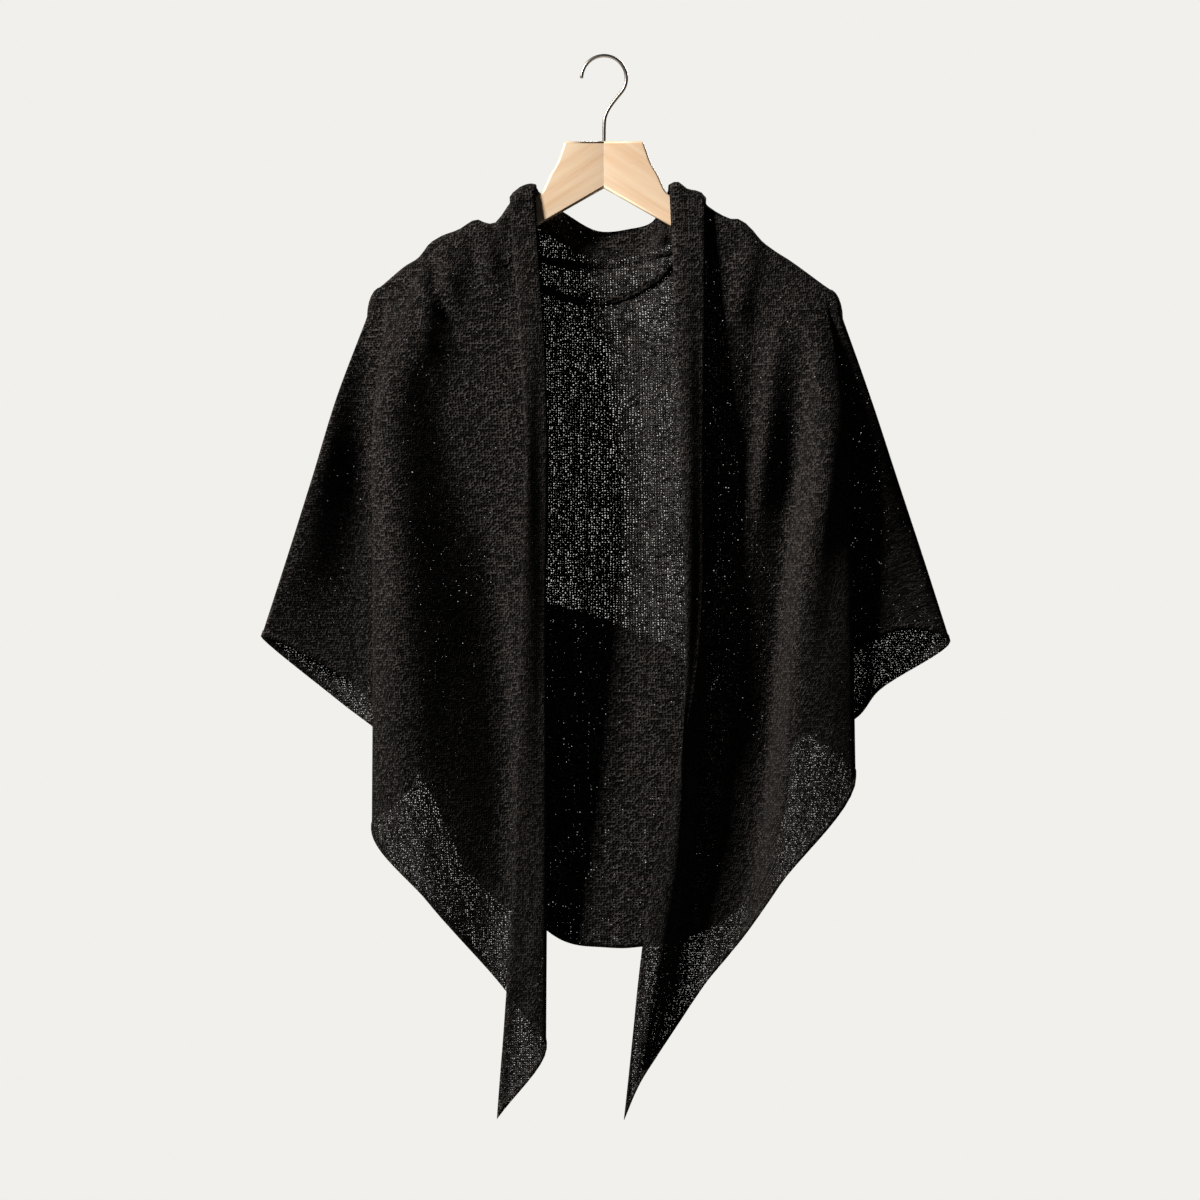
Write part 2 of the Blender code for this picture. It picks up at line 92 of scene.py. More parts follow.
print("black #0B0A0A in linear:", [round(v, 4) for v in colour("#0B0A0A")[:3]])

# %% [markdown]
# ## Camera, light and backdrop first
#
# The scarf was seen straight on from far away, with hardly any perspective, so the camera
# stands 6 m off with a long lens. Sizes are true a little in front of the hanger, where most of
# the cloth hangs. The room is pale and even. One soft lamp stands high at the front left and
# makes every fold lit on its left side, and very little light comes from elsewhere, so hollows
# go nearly black. A plain floor lies below, out of the picture. It takes the shadow but throws
# no light up, because on a black thing even a little light from below fills every hollow.

# %% Camera, lamps, floor
CAMERA_AWAY = 6.0
TRUE_SIZE_AT = 0.03
FRAME_WIDTH = 1.2
AIM = (-0.004, -0.5453)
PALE = "#F1F0EC"
LAMP_AIM = (0.0, 0.0, -0.5)
ROOM_LIGHT = 0.010
FLOOR_DEPTH = 1.75
FLOOR_RADIUS = 2.6

scene = bpy.context.scene
scene.view_settings.view_transform = "Standard"
lens = bpy.data.cameras.new("camera")
lens.sensor_width = 36.0
lens.lens = lens.sensor_width * (CAMERA_AWAY - TRUE_SIZE_AT) / FRAME_WIDTH
lens.clip_end = 50.0
camera = bpy.data.objects.new("camera", lens)
scene.collection.objects.link(camera)
camera.location = (AIM[0], -CAMERA_AWAY, AIM[1])
camera.rotation_euler = (math.radians(90), 0.0, 0.0)
scene.camera = camera


print("lens", round(lens.lens, 1), "mm")


# %% Lamps
def lamp(name, place, width, power, tint):
    """A square soft lamp that points at the middle of the cloth."""
    light = bpy.data.lights.new(name, "AREA")
    light.size = width
    light.energy = power
    light.color = colour(tint)[:3]
    holder = bpy.data.objects.new(name, light)
    scene.collection.objects.link(holder)
    holder.location = place
    holder.rotation_euler = (Vector(LAMP_AIM) - Vector(place)).to_track_quat("-Z", "Y").to_euler()


lamp("key lamp", (-2.77, -1.73, 1.45), 0.7, 285.0, "#FFFBF4")
lamp("fill lamp", (2.6, -3.2, -0.2), 2.2, 1.5, "#FFFFFF")
lamp("back lamp", (1.6, 3.2, 1.2), 1.6, 120.0, "#FFFFFF")
print(len(bpy.data.lights), "lamps")

# %% Room and floor
world = bpy.data.worlds.new("pale room")
world.use_nodes = True
scene.world = world
room = world.node_tree
room.nodes.clear()
seen = add(room, "ShaderNodeBackground", {"Color": colour(PALE), "Strength": 1.0})
cast = add(room, "ShaderNodeBackground", {"Color": colour(PALE), "Strength": ROOM_LIGHT})
seen_straight = add(room, "ShaderNodeLightPath").outputs["Is Camera Ray"]
mix = add(room, "ShaderNodeMixShader", {0: seen_straight, 1: cast.outputs[0], 2: seen.outputs[0]})
add(room, "ShaderNodeOutputWorld", {"Surface": mix.outputs[0]})

bpy.ops.mesh.primitive_circle_add(vertices=96, radius=FLOOR_RADIUS, fill_type="NGON",
                                  location=(0, 0, -FLOOR_DEPTH))
floor = bpy.context.object
floor.name = "floor"
floor_material, floor_tree, floor_shader = new_material("matt pale floor paint")
floor_shader.inputs["Base Color"].default_value = colour("#EFEEEA")
floor_shader.inputs["Roughness"].default_value = 0.9
floor.data.materials.append(floor_material)
floor.visible_diffuse = False
print("floor", FLOOR_DEPTH, "m below the rail")

# %% [markdown]
# ## The lines of the cloth
#
# On the real scarf every fold starts on the shoulder of the hanger and opens out as it falls.
# Each row below is one such line: a crest or a hollow. It says where the line starts along the
# shoulder, how far it lies above the layer below, which way it faces there, and where it is at a
# quarter, half and three quarters of its fall and at the hem. These are the sizes that the plain
# solids were built from, so the fine cloth lies on their form. Sizes are in millimetres: out
# from the middle, forward of the hanger, and depth below the origin.

# %% Tables of the shoulder, the falls and the neck
LEFT_SHOULDER = (
    (69, 130), (78, 132), (88, 138), (97, 150), (109, 166), (117, 167), (127, 163), (146, 173),
    (166, 181), (176, 188), (184, 199), (200, 210), (224, 231),
)
RIGHT_SHOULDER = (
    (66, 130), (74, 129), (84, 137), (97, 141), (105, 150), (116, 157), (126, 162), (137, 163),
    (148, 172), (158, 184), (168, 192), (188, 205), (206, 218), (226, 233),
)

# name, steps to the next line, top, lift, face (0 front, 90 side, 180 back), then out and
# forward at a quarter, half and three quarters of the fall, and out, forward, depth at the hem
LEFT_FRONT = (
    ("turned edge", 8, 94, 5.0, 0, 79, 35, 86, 38, 91, 38, 107, 34, 1064),
    ("inner fold", 7, 69, 2.5, 0, 57, 28, 58, 30, 57, 30, 58, 28, 994),
    ("under the band", 6, 78, 0.0, 0, 78, 16, 78, 10, 79, 8, 80, 14, 962),
    ("band valley", 9, 97, 0.0, 0, 156, 14, 112, 4, 96, 2, 108, 8, 926),
    ("panel slope", 14, 150, 0.0, 0, 211, 42, 210, 47, 206, 46, 177, 37, 846),
    ("panel ridge", 9, 212, 0.0, 10, 231, 32, 231, 36, 231, 36, 232, 32, 775),
    ("panel return", 10, 224, 0.0, 30, 208, 10, 199, 4, 193, 4, 190, 11, 725),
    ("wing front", 8, 224, 0.0, 66, 239, -2, 241, -8, 242, -9, 248, -5, 634),
    ("wing fold", 8, 224, 0.0, 90, 268, 8, 292, 18, 317, 22, 343, 19, 582),
)
LEFT_BACK = (
    ("wing back", 7, 224, 0.0, 114, 246, -12, 262, -16, 268, -18, 267, -14, 647),
    ("side back", 9, 224, 0.0, 150, 226, -18, 228, -20, 220, -18, 209, -12, 693),
    ("outer ridge", 14, 212, 0.0, 170, 205, -20, 200, -24, 188, -20, 179, -8, 730),
    ("outer hollow", 9, 150, 0.0, 180, 158, -16, 158, -18, 152, -12, 147, 0, 797),
    ("inner ridge", 6, 97, 0.0, 180, 112, -22, 118, -22, 117, -14, 114, 1, 837),
    ("inner hollow", 7, 78, 0.0, 180, 84, -18, 88, -18, 88, -10, 84, 4, 860),
    ("neck side", 5, 69, 2.5, 180, 64, -20, 62, -19, 60, -10, 58, 6, 873),
)
RIGHT_FRONT = (
    ("turned edge", 8, 102, 5.0, 0, 100, 34, 94, 36, 46, 38, 20, 32, 1065),
    ("inner fold", 7, 66, 2.5, 0, 75, 36, 81, 38, 73, 38, 36, 30, 1028),
    ("under the band", 6, 78, 0.0, 0, 90, 20, 92, 22, 84, 24, 54, 22, 1000),
    ("band valley", 7, 97, 0.0, 0, 112, 10, 106, 6, 96, 6, 80, 13, 962),
    ("short ridge", 8, 150, 0.0, 0, 157, 9, 132, 5, 115, 6, 104, 13, 927),
    ("deep valley", 8, 184, 0.0, 0, 192, 5, 175, 3, 161, 1, 134, 9, 891),
    ("main ridge", 10, 208, 0.0, 0, 221, 31, 201, 35, 186, 35, 176, 33, 830),
    ("panel edge", 9, 220, 0.0, 10, 243, 16, 247, 16, 250, 17, 252, 18, 722),
    ("panel return", 10, 226, 0.0, 30, 214, 12, 204, 11, 200, 11, 196, 10, 664),
    ("wing front", 8, 226, 0.0, 66, 252, 4, 272, 0, 284, -4, 292, -5, 577),
    ("wing fold", 8, 226, 0.0, 90, 269, -5, 296, -13, 323, -19, 349, -20, 587),
)
RIGHT_BACK = (
    ("wing back", 7, 226, 0.0, 114, 256, -14, 274, -22, 280, -27, 277, -26, 637),
    ("side back", 9, 226, 0.0, 150, 240, -18, 250, -20, 254, -18, 253, -12, 665),
    ("outer ridge", 10, 220, 0.0, 170, 218, -20, 215, -24, 205, -20, 192, -8, 690),
    ("outer hollow", 8, 208, 0.0, 180, 192, -14, 190, -16, 188, -12, 184, -2, 742),
    ("middle ridge", 8, 184, 0.0, 180, 162, -22, 160, -24, 162, -16, 163, -1, 808),
    ("middle hollow", 7, 150, 0.0, 180, 132, -16, 134, -18, 136, -10, 134, 2, 852),
    ("inner ridge", 6, 97, 0.0, 180, 100, -22, 102, -22, 100, -12, 98, 4, 875),
    ("inner hollow", 7, 78, 0.0, 180, 78, -18, 78, -18, 74, -9, 70, 5, 884),
    ("neck side", 5, 66, 2.5, 180, 64, -20, 60, -19, 56, -9, 50, 6, 889),
)
# name, steps, across, back, depth at the neck edge, across and forward at a quarter, half and
# three quarters of the fall, and across, forward, depth at the bottom fold
NECK = (
    ("left turn", 5, -67, 9.5, 133, -57, -22, -54, -20, -53, -10, -51, 6, 878),
    ("left side", 5, -57, 14.5, 143, -46, -23, -43, -20, -42, -10, -40, 6, 884),
    ("left neck", 6, -38, 20, 156, -29, -25, -27, -21, -26, -10, -26, 7, 888),
    ("middle neck", 6, -6, 26, 173, -3, -27, -2, -22, -2, -10, -2, 7, 890),
    ("right neck", 5, 26, 23, 171, 24, -26, 23, -22, 21, -10, 19, 7, 891),
    ("right side", 5, 49, 17, 164, 43, -23, 40, -20, 36, -9, 33, 6, 890),
    ("right turn", 5, 64, 9.5, 136, 55, -22, 51, -20, 47, -9, 43, 6, 889),
)
SHOULDER_ROLL = 7.5
SIDE_ROLL_OUT = 6.5
SIDE_ROLL_DOWN = 22.5
SIDE_SPREAD = 60
RIDGE_FADE = 0.30
print("lines:", len(LEFT_FRONT) + len(LEFT_BACK) + len(NECK) + len(RIGHT_BACK) + len(RIGHT_FRONT))

# %% [markdown]
# ## From lines to a sheet
#
# Cloth can't bend sharply along its fall, so each line is a smooth curve through its five
# places. Across the lines, the sheet follows a curve that stays between its points and makes no
# loops (centripetal), which is how cloth rounds a fold. Over the shoulder the sheet rolls
# through a quarter of an oval from the top to the front, and the same to the back, so front and
# back share their top row.

# %% Smooth curves
def smooth_step(value):
    """Rises from 0 to 1 with level ends."""
    value = np.clip(value, 0.0, 1.0)
    return value * value * (3.0 - 2.0 * value)


def through(values, place):
    """Reads a smooth curve through evenly spaced values at a place from 0 to 1."""
    last = len(values) - 1
    spot = min(max(place, 0.0), 1.0) * last
    index = min(int(spot), last - 1)
    part = spot - index
    before = values[index - 1] if index > 0 else 2 * values[0] - values[1]
    after = values[index + 2] if index + 2 <= last else 2 * values[last] - values[last - 1]
    start, end = values[index], values[index + 1]
    bend = 2 * before - 5 * start + 4 * end - after
    twist = 3 * (start - end) + after - before
    return start + 0.5 * part * ((end - before) + part * (bend + part * twist))


def centripetal(points, steps):
    """Samples a curve through points without loops, with the given steps in each span."""
    chain = [2 * points[0] - points[1], *points, 2 * points[-1] - points[-2]]
    samples = [points[0][None]]
    for span, count in enumerate(steps):
        four = chain[span:span + 4]
        knots = [0.0]
        for near, far in zip(four, four[1:]):
            knots.append(knots[-1] + max(np.linalg.norm(far - near), 1e-4) ** 0.5)
        time = (knots[1] + (knots[2] - knots[1]) * np.arange(1, count + 1) / count)[:, None]
        level = four
        for reach in (1, 2, 3):
            joined = []
            for i in range(len(level) - 1):
                low = knots[i] if reach < 3 else knots[1]
                high = knots[i + reach] if reach < 3 else knots[2]
                share = (time - low) / (high - low)
                joined.append(level[i] * (1 - share) + level[i + 1] * share)
            level = joined
        samples.append(level[0])
    return np.concatenate(samples)


print("a smooth step is at", float(smooth_step(0.25)), "after a quarter of its way")


# %% Lines of the cloth
def profile_depth(profile, out):
    """Depth of the shoulder line at a distance out from the middle, on a smooth curve."""
    outs, depths = (np.array([row[i] for row in profile], float) for i in (0, 1))
    slopes = np.gradient(depths, outs)
    i = int(np.clip(np.searchsorted(outs, out) - 1, 0, len(outs) - 2))
    width = outs[i + 1] - outs[i]
    t = min(max((out - outs[i]) / width, 0.0), 1.0)
    return float((2 * t ** 3 - 3 * t ** 2 + 1) * depths[i] + (t ** 3 - 2 * t ** 2 + t) * width * slopes[i]
                 + (3 * t ** 2 - 2 * t ** 3) * depths[i + 1] + (t ** 3 - t ** 2) * width * slopes[i + 1])


def make_line(side, profile, row):
    """One line of the cloth from the shoulder to the hem, as its sizes in one record."""
    top, lift, face, o25, f25, o50, f50, o75, f75, out, forward, depth = row[2:]
    turn = math.radians(face)
    aside = float(smooth_step(1 - abs(face - 90) / SIDE_SPREAD))
    roll_out = SHOULDER_ROLL + lift + SIDE_ROLL_OUT * aside
    roll_down = SHOULDER_ROLL + lift + SIDE_ROLL_DOWN * aside
    start_drop = profile_depth(profile, top) - lift + roll_down
    return {
        "name": row[0], "steps": row[1], "side": side, "profile": profile, "neck": None,
        "top": top, "lift": lift, "turn": turn, "roll_out": roll_out, "roll_down": roll_down,
        "out": (top + roll_out * math.sin(turn), o25, o50, o75, out),
        "forward": (roll_out * math.cos(turn), f25, f50, f75, forward),
        "drop": (start_drop, depth),
    }


def make_neck_line(row):
    """One line of the cloth from the neck edge to the bottom fold."""
    across, back, edge_depth, a25, f25, a50, f50, a75, f75, low, forward, depth = row[2:]
    return {
        "name": row[0], "steps": row[1], "side": 1, "profile": None, "neck": (across, back, edge_depth),
        "top": 0.0, "lift": 0.0, "turn": math.pi, "roll_out": 1.0, "roll_down": SHOULDER_ROLL,
        "out": (across, a25, a50, a75, low), "forward": (-back - 1.0, f25, f50, f75, forward),
        "drop": (edge_depth + SHOULDER_ROLL, depth),
    }


def line_point(line, fall):
    """Where one line lies at a share of its fall."""
    start, end = line["drop"]
    return np.array((line["side"] * through(line["out"], fall), -through(line["forward"], fall),
                     -(start + fall * (end - start))))


print("the left shoulder lies", round(profile_depth(LEFT_SHOULDER, 150), 1), "mm down, 150 mm out")


# %% The roll over the shoulder
def over_shoulder(line, top, lift, angle, turn, roll_out, roll_down):
    """Where the cloth lies on its way over the shoulder, at an angle from the top."""
    bend = math.radians(angle)
    if line["neck"]:
        across, back, depth = line["neck"]
        drop = depth + roll_down * (1 - math.cos(bend))
        return np.array((across, back + roll_out * math.sin(bend), -drop))
    reach = roll_out * math.sin(bend)
    height = lift - profile_depth(line["profile"], top) - roll_down * (1 - math.cos(bend))
    return np.array((line["side"] * (top + reach * math.sin(turn)), -reach * math.cos(turn), height))


def shoulder_row(lines, steps, angle):
    """One row of points on the roll over the shoulder and the neck edge."""
    keys = ("top", "lift", "turn", "roll_out", "roll_down")
    row = []
    for span, count in enumerate(steps):
        near, far = lines[span], lines[span + 1]
        first = 0 if span == 0 else 1
        if near["neck"] or far["neck"]:
            chain = [over_shoulder(e, e["top"], e["lift"], angle, *(e[key] for key in keys[2:]))
                     for e in lines[span - 1:span + 3]]
            row += list(centripetal(chain, (1, count, 1))[2:2 + count])
            continue
        owner = near if near["profile"] is far["profile"] else far
        for step in range(first, count + 1):
            part = step / count
            top, lift, turn, roll_out, roll_down = (near[k] * (1 - part) + far[k] * part for k in keys)
            if near["lift"] != far["lift"]:
                low, high = sorted((near["lift"], far["lift"]))
                reach = (1 - part) if near["lift"] > far["lift"] else part
                if low > 0:
                    curve = math.sqrt(1 - (1 - reach) ** 2)
                else:
                    curve = 1 - math.sqrt(1 - reach ** 2)
                lift = low + (high - low) * curve
            row.append(over_shoulder(owner, top, lift, angle, turn, roll_out, roll_down))
    return np.array(row)


left_front = [make_line(-1, LEFT_SHOULDER, row) for row in LEFT_FRONT]
left_back = [make_line(-1, LEFT_SHOULDER, row) for row in LEFT_BACK]
neck = [make_neck_line(row) for row in NECK]
right_back = [make_line(1, RIGHT_SHOULDER, row) for row in reversed(RIGHT_BACK)]
right_front = [make_line(1, RIGHT_SHOULDER, row) for row in reversed(RIGHT_FRONT)]
lines = left_front + left_back + neck + right_back + right_front
mirrored_from = len(left_front + left_back + neck)
steps = [line["steps"] for line in lines[:mirrored_from]]
steps += [line["steps"] for line in lines[mirrored_from + 1:]]
column_of = np.concatenate(([0], np.cumsum(steps)))
print("columns:", column_of[-1] + 1)

# %% [markdown]
# ## The whole sheet as one grid
#
# Rows run from the top of the shoulder down to the hem, and columns run from the long edge of
# the left front, round the left wing, across the back and back to the long edge of the right
# front. Each column is measured along its own length, so the last few millimetres can carry the
# narrow hem. Behind the neck the cloth is pulled up by the hanger and sinks into soft swags.

# %% Swags behind the neck
# depth at the lowest place, rise over the first 100 mm to each side, height, half width, and how
# far the cloth laps over itself (0 for a plain swell)
NECK_SWAGS = (
    (190, 18, 3.0, 9.0, 0.0), (208, 24, -4.0, 8.0, 2.8),
    (224, 40, 5.0, 8.0, 0.0), (245, 57, -5.0, 9.0, 2.8), (264, 50, 3.0, 14.0, 0.0),
)
SWAG_LOWEST = -10.0
SWAG_REACH = 92.0
SWAG_FADE = 24.0
FOLD_DEPTH = 2.2


def swag(points, strength):
    """Pushes the cloth at the back of the neck into folds that hang from side to side."""
    x, z = points[:, 0], points[:, 2]
    shift = np.zeros(points.shape)
    for depth, rise, height, width, fold in NECK_SWAGS:
        line_height = -depth + rise * (0.01 * (x - SWAG_LOWEST)) ** 2
        off = (z - line_height) / width
        hump = np.exp(-off ** 2)
        shift[:, 1] -= height * hump + FOLD_DEPTH * fold * off * hump
        shift[:, 2] -= fold * width * off * hump
    return shift * (strength * smooth_step((SWAG_REACH - np.abs(x)) / SWAG_FADE))[:, None]


print(len(NECK_SWAGS), "swags")

# %% Build the grid
ROLL_ANGLES = (0.0, 15.0, 30.0, 45.0, 60.0, 75.0)
FALL_SAMPLES = 260
SAMPLE_CROWD = 1.5
FALL_ROWS = 131
ROW_CROWD = 1.35
SWAG_SETTLE = 0.03
HEM_WIDTH = 6.0
HEM_STEP = 0.9


def column(group, name):
    """The grid column on which a named line of one group lies."""
    wanted = next(line for line in group if line["name"] == name)
    return int(column_of[[line is wanted for line in lines].index(True)])


def along_columns(rows):
    """Distance of every point down its own column."""
    legs = np.linalg.norm(np.diff(rows, axis=0), axis=2)
    return np.concatenate((np.zeros((1, rows.shape[1])), np.cumsum(legs, axis=0)))


back_columns = np.zeros(column_of[-1] + 1)
back_columns[column(left_back, "inner hollow"):column(right_back, "inner hollow") + 1] = 1.0
start = shoulder_row(lines, steps, 90.0)
plain_start = centripetal([line_point(line, 0.0) for line in lines], steps)
falls = []
for fall in np.linspace(0.0, 1.0, FALL_SAMPLES) ** SAMPLE_CROWD:
    row = centripetal([line_point(line, fall) for line in lines], steps)
    row = row + (start - plain_start) * float(1 - smooth_step(fall / RIDGE_FADE))
    row += swag(row, back_columns * float(smooth_step(fall / SWAG_SETTLE)))
    falls.append(row)
falls = np.array(falls)
gone = along_columns(falls)
even = []
for c in range(falls.shape[1]):
    length = gone[-1, c]
    places = (length - HEM_WIDTH - HEM_STEP) * np.linspace(0.0, 1.0, FALL_ROWS) ** ROW_CROWD
    places = np.concatenate((places, (length - HEM_WIDTH, length)))
    even.append(np.stack([np.interp(places, gone[:, c], falls[:, c, axis]) for axis in range(3)], axis=1))
roll = np.array([shoulder_row(lines, steps, angle) for angle in ROLL_ANGLES])
grid = np.concatenate((roll, np.transpose(np.array(even), (1, 0, 2))))
print("grid:", grid.shape[0], "rows of", grid.shape[1])

# %% [markdown]
# ## Creases
#
# The lines give the main falls. Between them the real cloth carries smaller creases: short
# ones where it is caught on the shoulder, long soft ones down the panels. Each is drawn as a
# short path on the layer it belongs to, with a height, and a width on its left and right, so
# one side can be steep and the other slack. The back and the wings are not seen from the front,
# and get creases of the same kind that radiate from the shoulders. A fine unevenness goes over
# everything, longer up and down than across, because hanging cloth is never quite smooth.

# %% Crease tables
# height, width to the left and to the right, then across and depth of the points of its path
LEFT_PANEL_CREASES = (
    (-6.0, 7, 6, ((-98, 160), (-93, 240), (-92, 300))),
    (4.5, 7, 7, ((-126, 160), (-117, 190), (-112, 230))),
    (-3.5, 7, 8, ((-137, 176), (-129, 205), (-124, 240))),
    (4.5, 9, 8, ((-164, 176), (-157, 210), (-150, 262))),
    (-6.0, 5, 7, ((-177, 190), (-170, 232), (-160, 258), (-146, 292))),
    (3.5, 8, 10, ((-190, 205), (-182, 250), (-176, 320))),
    (-3.0, 6, 6, ((-214, 238), (-206, 268))),
    (6.0, 20, 28, ((-204, 330), (-204, 420), (-198, 560), (-192, 680), (-186, 800))),
    (-7.0, 30, 9, ((-128, 400), (-112, 520), (-104, 650), (-101, 760), (-102, 900))),
)
RIGHT_PANEL_CREASES = (
    (7.0, 5, 14, ((134, 158), (144, 188), (139, 219), (132, 256), (127, 285))),
    (-7.0, 16, 6, ((158, 190), (156, 245), (153, 300), (148, 360), (141, 420), (132, 500))),
    (8.0, 6, 22, ((190, 212), (182, 245), (172, 300), (165, 350), (159, 400), (151, 455), (144, 500))),
    (-7.0, 20, 7, ((208, 225), (205, 290), (201, 350), (192, 416), (183, 500), (174, 573), (165, 650),
                   (158, 740), (160, 810))),
    (3.0, 10, 14, ((230, 330), (226, 420), (212, 520))),
    (-3.0, 12, 14, ((238, 430), (226, 540), (214, 640))),
    (2.5, 12, 16, ((130, 540), (112, 660), (98, 780))),
)
LEFT_BAND_CREASES = (
    (4.0, 9, 8, ((-84, 150), (-76, 300), (-76, 480), (-79, 700), (-84, 860))),
    (-1.5, 5, 5, ((-68, 180), (-64, 330), (-64, 520), (-64, 720), (-66, 850))),
    (1.6, 7, 7, ((-100, 900), (-96, 980), (-104, 1050))),
)
RIGHT_BAND_CREASES = (
    (3.5, 8, 8, ((80, 150), (84, 300), (84, 480), (82, 640), (62, 780))),
    (-2.0, 6, 6, ((96, 190), (98, 300), (98, 480), (92, 640))),
    (1.8, 8, 8, ((60, 800), (44, 900), (34, 1000))),
)
NECK_CREASES = (
    (6.0, 7, 7, ((-4, 194), (8, 184), (20, 177), (36, 175))),
    (-3.0, 6, 7, ((30, 186), (40, 188), (46, 194))),
    (5.0, 5, 5, ((56, 172), (57, 182), (54, 192))),
    (-4.0, 7, 7, ((-34, 176), (-14, 184), (-2, 188))),
)
BACK_CREASES = (
    (3.5, 10, 14, ((-206, 215), (-150, 330), (-96, 470), (-60, 620))),
    (-3.5, 12, 10, ((-186, 205), (-120, 330), (-66, 470))),
    (4.0, 14, 10, ((208, 215), (160, 340), (110, 500), (84, 640))),
    (-3.5, 10, 12, ((188, 205), (126, 320), (70, 450))),
    (-2.5, 16, 16, ((-150, 520), (-120, 650), (-112, 760))),
    (2.5, 18, 16, ((10, 380), (4, 540), (-6, 700))),
    (-3.0, 16, 20, ((150, 560), (138, 680), (140, 780))),
    (2.5, 9, 9, ((-60, 270), (0, 292), (62, 268))),
)
LEFT_WING_CREASES = (
    (2.5, 14, 12, ((-262, 330), (-286, 450), (-304, 560))),
    (-2.5, 12, 12, ((-240, 340), (-256, 470), (-272, 590))),
    (2.0, 9, 12, ((-300, 480), (-322, 550))),
)
RIGHT_WING_CREASES = (
    (2.5, 12, 14, ((262, 330), (284, 440), (302, 540))),
    (-2.5, 12, 12, ((250, 360), (266, 470), (284, 570))),
    (2.0, 12, 9, ((304, 470), (330, 556))),
)
CREASE_ENDS = 0.35
print(len(LEFT_PANEL_CREASES), "creases on the left panel,", len(RIGHT_PANEL_CREASES), "on the right")


# %% Height of the creases
def crease_height(x, depth, table):
    """Height of all creases of one table at each point of the cloth."""
    total = np.zeros(x.shape)
    for height, left, right, points in table:
        legs = [math.hypot(b[0] - a[0], b[1] - a[1]) for a, b in zip(points, points[1:])]
        away = np.full(x.shape, np.inf)
        side = np.zeros(x.shape)
        place = np.zeros(x.shape)
        for i, (a, b) in enumerate(zip(points, points[1:])):
            run_x, run_d = b[0] - a[0], b[1] - a[1]
            t = np.clip(((x - a[0]) * run_x + (depth - a[1]) * run_d) / legs[i] ** 2, 0.0, 1.0)
            off_x, off_d = x - a[0] - t * run_x, depth - a[1] - t * run_d
            near = np.hypot(off_x, off_d)
            closer = near < away
            away = np.where(closer, near, away)
            side = np.where(closer, off_x * run_d - off_d * run_x, side)
            place = np.where(closer, sum(legs[:i]) + t * legs[i], place)
        ends = smooth_step(np.minimum(place, sum(legs) - place) / (CREASE_ENDS * sum(legs)))
        total += height * ends * np.exp(-(away / np.where(side > 0, right, left)) ** 2)
    return total


middle_of_first = crease_height(np.array([-93.0]), np.array([240.0]), LEFT_PANEL_CREASES[:1])
print("the first crease is", round(float(middle_of_first[0]), 1), "mm high in its middle")


# %% Press the creases into the grid
def columns_between(first, last, soft):
    """1 on the columns between two, falling softly to 0 outside them."""
    c = np.arange(grid.shape[1])
    return smooth_step((np.minimum(c - first, last - c) + soft) / soft)


FRONT, REAR = -1.0, 1.0
LAYER_SOFT = 3
CREASE_SETTLE = 22.0
UNEVEN = ((0.9, 26.0, 90.0), (0.35, 11.0, 30.0))
WOOD_REACH = 75.0
WOOD_CLEAR = 7.4
layers = (
    (LEFT_PANEL_CREASES, FRONT, column(left_front, "under the band"),
     column(left_front, "panel ridge") + 1),
    (RIGHT_PANEL_CREASES, FRONT, column(right_front, "panel edge") - 1,
     column(right_front, "under the band")),
    (LEFT_BAND_CREASES, FRONT, 0, column(left_front, "inner fold") - 1),
    (RIGHT_BAND_CREASES, FRONT, column(right_front, "inner fold") + 1, grid.shape[1] - 1),
    (NECK_CREASES, FRONT, column(left_back, "neck side"), column(right_back, "neck side")),
    (BACK_CREASES, REAR, column(left_back, "side back"), column(right_back, "side back")),
    (LEFT_WING_CREASES, FRONT, column(left_front, "wing front"), column(left_front, "wing fold") - 2),
    (RIGHT_WING_CREASES, FRONT, column(right_front, "wing fold") + 2, column(right_front, "wing front")),
    (LEFT_WING_CREASES, REAR, column(left_front, "wing fold") + 2, column(left_back, "wing back")),
    (RIGHT_WING_CREASES, REAR, column(right_back, "wing back"), column(right_front, "wing fold") - 2),
)
from_top = along_columns(grid)
settled = smooth_step(from_top / CREASE_SETTLE)
shift = np.zeros(grid.shape[:2])
for table, direction, first, last in layers:
    mask = columns_between(first, last, LAYER_SOFT)
    shift += direction * mask * crease_height(grid[:, :, 0], -grid[:, :, 2], table)
for r in range(grid.shape[0]):
    for c in range(grid.shape[1]):
        x, y, z = grid[r, c]
        for height, across, down in UNEVEN:
            shift[r, c] += height * noise.noise(Vector((x / across, y / across, z / down)))
moved = grid[:, :, 1] + shift * settled
on_wood = from_top < WOOD_REACH
least = np.minimum(np.abs(grid[:, :, 1]), WOOD_CLEAR)
facing_back = grid[:, :, 1] > 0
kept = np.where(facing_back, np.maximum(moved, least), np.minimum(moved, -least))
grid[:, :, 1] = np.where(on_wood, kept, moved)
print("largest crease:", round(float(np.abs(shift).max()), 1), "mm")

# %% [markdown]
# ## The turned edge behind the neck and the turned-up corner
#
# The strip along the long edge is a fold of the same cloth, so its rows behind the neck start
# on the neck edge and end on the strips of the two fronts. The third corner hangs folded up
# behind the back, so its first row is the bottom row of the back, and its last row is the
# cloth's own free edge.

